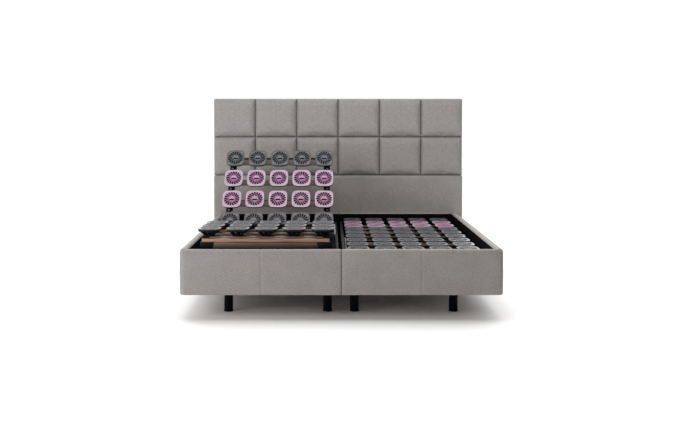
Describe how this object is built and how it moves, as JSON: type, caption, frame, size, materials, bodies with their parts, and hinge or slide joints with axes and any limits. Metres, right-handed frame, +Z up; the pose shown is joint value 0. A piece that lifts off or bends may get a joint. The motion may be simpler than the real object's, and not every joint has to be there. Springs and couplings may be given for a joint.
{
  "type": "adjustable bed base",
  "caption": "Twin upholstered box bed base with padded headboard; each box holds an electric slatted base of disc springs whose back, thigh and calf sections tilt.",
  "frame": {"origin": "on the floor under the middle of the whole bed, headboard included", "axes": "+X to the right as seen from the foot end, +Y from the foot end to the headboard, +Z up"},
  "size_m": [1.9, 2.2, 1.258],
  "materials": {
    "fabric": "warm grey woven upholstery over board and foam",
    "board": "dark lined board",
    "plywood": "plain plywood",
    "steel": "black powder-coated steel",
    "grey_disc": "moulded grey plastic discs on a beech slat",
    "pink_disc": "moulded pink plastic discs on a beech slat",
    "leg": "black satin leg",
    "housing": "black moulded plastic"
  },
  "bodies": {
    "root": {"left_front_panel": "fabric", "left_back_panel": "fabric", "left_side_panel": "fabric", "left_inner_board": "board", "left_bottom_frame": "plywood", "left_front_inner_leg": "leg", "left_front_outer_leg": "leg", "left_back_inner_leg": "leg", "left_back_outer_leg": "leg", "left_headboard_bracket": "steel", "left_base_frame": "steel", "left_drive_housing": "housing", "left_motor_unit": "housing", "left_spring_row_05": "grey_disc", "right_front_panel": "fabric", "right_back_panel": "fabric", "right_side_panel": "fabric", "right_inner_board": "board", "right_bottom_frame": "plywood", "right_front_inner_leg": "leg", "right_front_outer_leg": "leg", "right_back_inner_leg": "leg", "right_back_outer_leg": "leg", "right_headboard_bracket": "steel", "right_base_frame": "steel", "right_drive_housing": "housing", "right_motor_unit": "housing", "right_spring_row_05": "grey_disc", "headboard_squares_pad": "fabric", "headboard_lower_pad": "fabric", "headboard_board": "fabric"},
    "left_back_section": {"left_back_frame": "steel", "left_spring_row_01": "grey_disc", "left_spring_row_02": "pink_disc", "left_spring_row_03": "pink_disc", "left_spring_row_04": "grey_disc"},
    "left_thigh_section": {"left_thigh_frame": "steel", "left_spring_row_06": "grey_disc", "left_spring_row_07": "grey_disc"},
    "left_calf_section": {"left_calf_frame": "steel", "left_spring_row_08": "grey_disc", "left_spring_row_09": "grey_disc", "left_spring_row_10": "grey_disc"},
    "left_back_drive": {"left_back_slider": "housing"},
    "left_leg_drive": {"left_leg_slider": "housing"},
    "right_back_section": {"right_back_frame": "steel", "right_spring_row_01": "grey_disc", "right_spring_row_02": "pink_disc", "right_spring_row_03": "pink_disc", "right_spring_row_04": "grey_disc"},
    "right_thigh_section": {"right_thigh_frame": "steel", "right_spring_row_06": "grey_disc", "right_spring_row_07": "grey_disc"},
    "right_calf_section": {"right_calf_frame": "steel", "right_spring_row_08": "grey_disc", "right_spring_row_09": "grey_disc", "right_spring_row_10": "grey_disc"},
    "right_back_drive": {"right_back_slider": "housing"},
    "right_leg_drive": {"right_leg_slider": "housing"}
  },
  "joints": [
    {"name": "left_back_hinge", "type": "hinge", "parent": "root", "child": "left_back_section", "pos_m": [-0.426, 0.14, 0.324], "axis": [1, 0, 0], "range_deg": [-43, 27]},
    {"name": "left_thigh_hinge", "type": "hinge", "parent": "root", "child": "left_thigh_section", "pos_m": [-0.426, -0.06, 0.324], "axis": [-1, 0, 0], "range_deg": [-18.7, 16.3]},
    {"name": "left_knee_hinge", "type": "hinge", "parent": "left_thigh_section", "child": "left_calf_section", "pos_m": [-0.426, -0.43888, 0.45225], "axis": [-1, 0, 0], "range_deg": [-15.26, 17.49]},
    {"name": "left_back_drive_slide", "type": "slide", "parent": "root", "child": "left_back_drive", "axis": [0, 1, 0], "range_m": [-0.07067, 0.04445]},
    {"name": "left_leg_drive_slide", "type": "slide", "parent": "root", "child": "left_leg_drive", "axis": [0, -1, 0], "range_m": [-0.03209, 0.02799]},
    {"name": "right_back_hinge", "type": "hinge", "parent": "root", "child": "right_back_section", "pos_m": [0.426, 0.14, 0.324], "axis": [1, 0, 0], "range_deg": [0, 70]},
    {"name": "right_thigh_hinge", "type": "hinge", "parent": "root", "child": "right_thigh_section", "pos_m": [0.426, -0.06, 0.324], "axis": [-1, 0, 0], "range_deg": [0, 35]},
    {"name": "right_knee_hinge", "type": "hinge", "parent": "right_thigh_section", "child": "right_calf_section", "pos_m": [0.426, -0.46, 0.324], "axis": [-1, 0, 0], "range_deg": [-32.65, 0]},
    {"name": "right_back_drive_slide", "type": "slide", "parent": "root", "child": "right_back_drive", "axis": [0, 1, 0], "range_m": [0, 0.11492]},
    {"name": "right_leg_drive_slide", "type": "slide", "parent": "root", "child": "right_leg_drive", "axis": [0, -1, 0], "range_m": [0, 0.05988]}
  ],
  "couplings": [
    {"joint": "left_knee_hinge", "follows": "left_thigh_hinge", "ratio": -0.93},
    {"joint": "left_back_drive_slide", "follows": "left_back_hinge", "m_per_rad": 0.0939},
    {"joint": "left_leg_drive_slide", "follows": "left_thigh_hinge", "m_per_rad": 0.0977},
    {"joint": "right_knee_hinge", "follows": "right_thigh_hinge", "ratio": -0.93},
    {"joint": "right_back_drive_slide", "follows": "right_back_hinge", "m_per_rad": 0.0939},
    {"joint": "right_leg_drive_slide", "follows": "right_thigh_hinge", "m_per_rad": 0.0977}
  ]
}
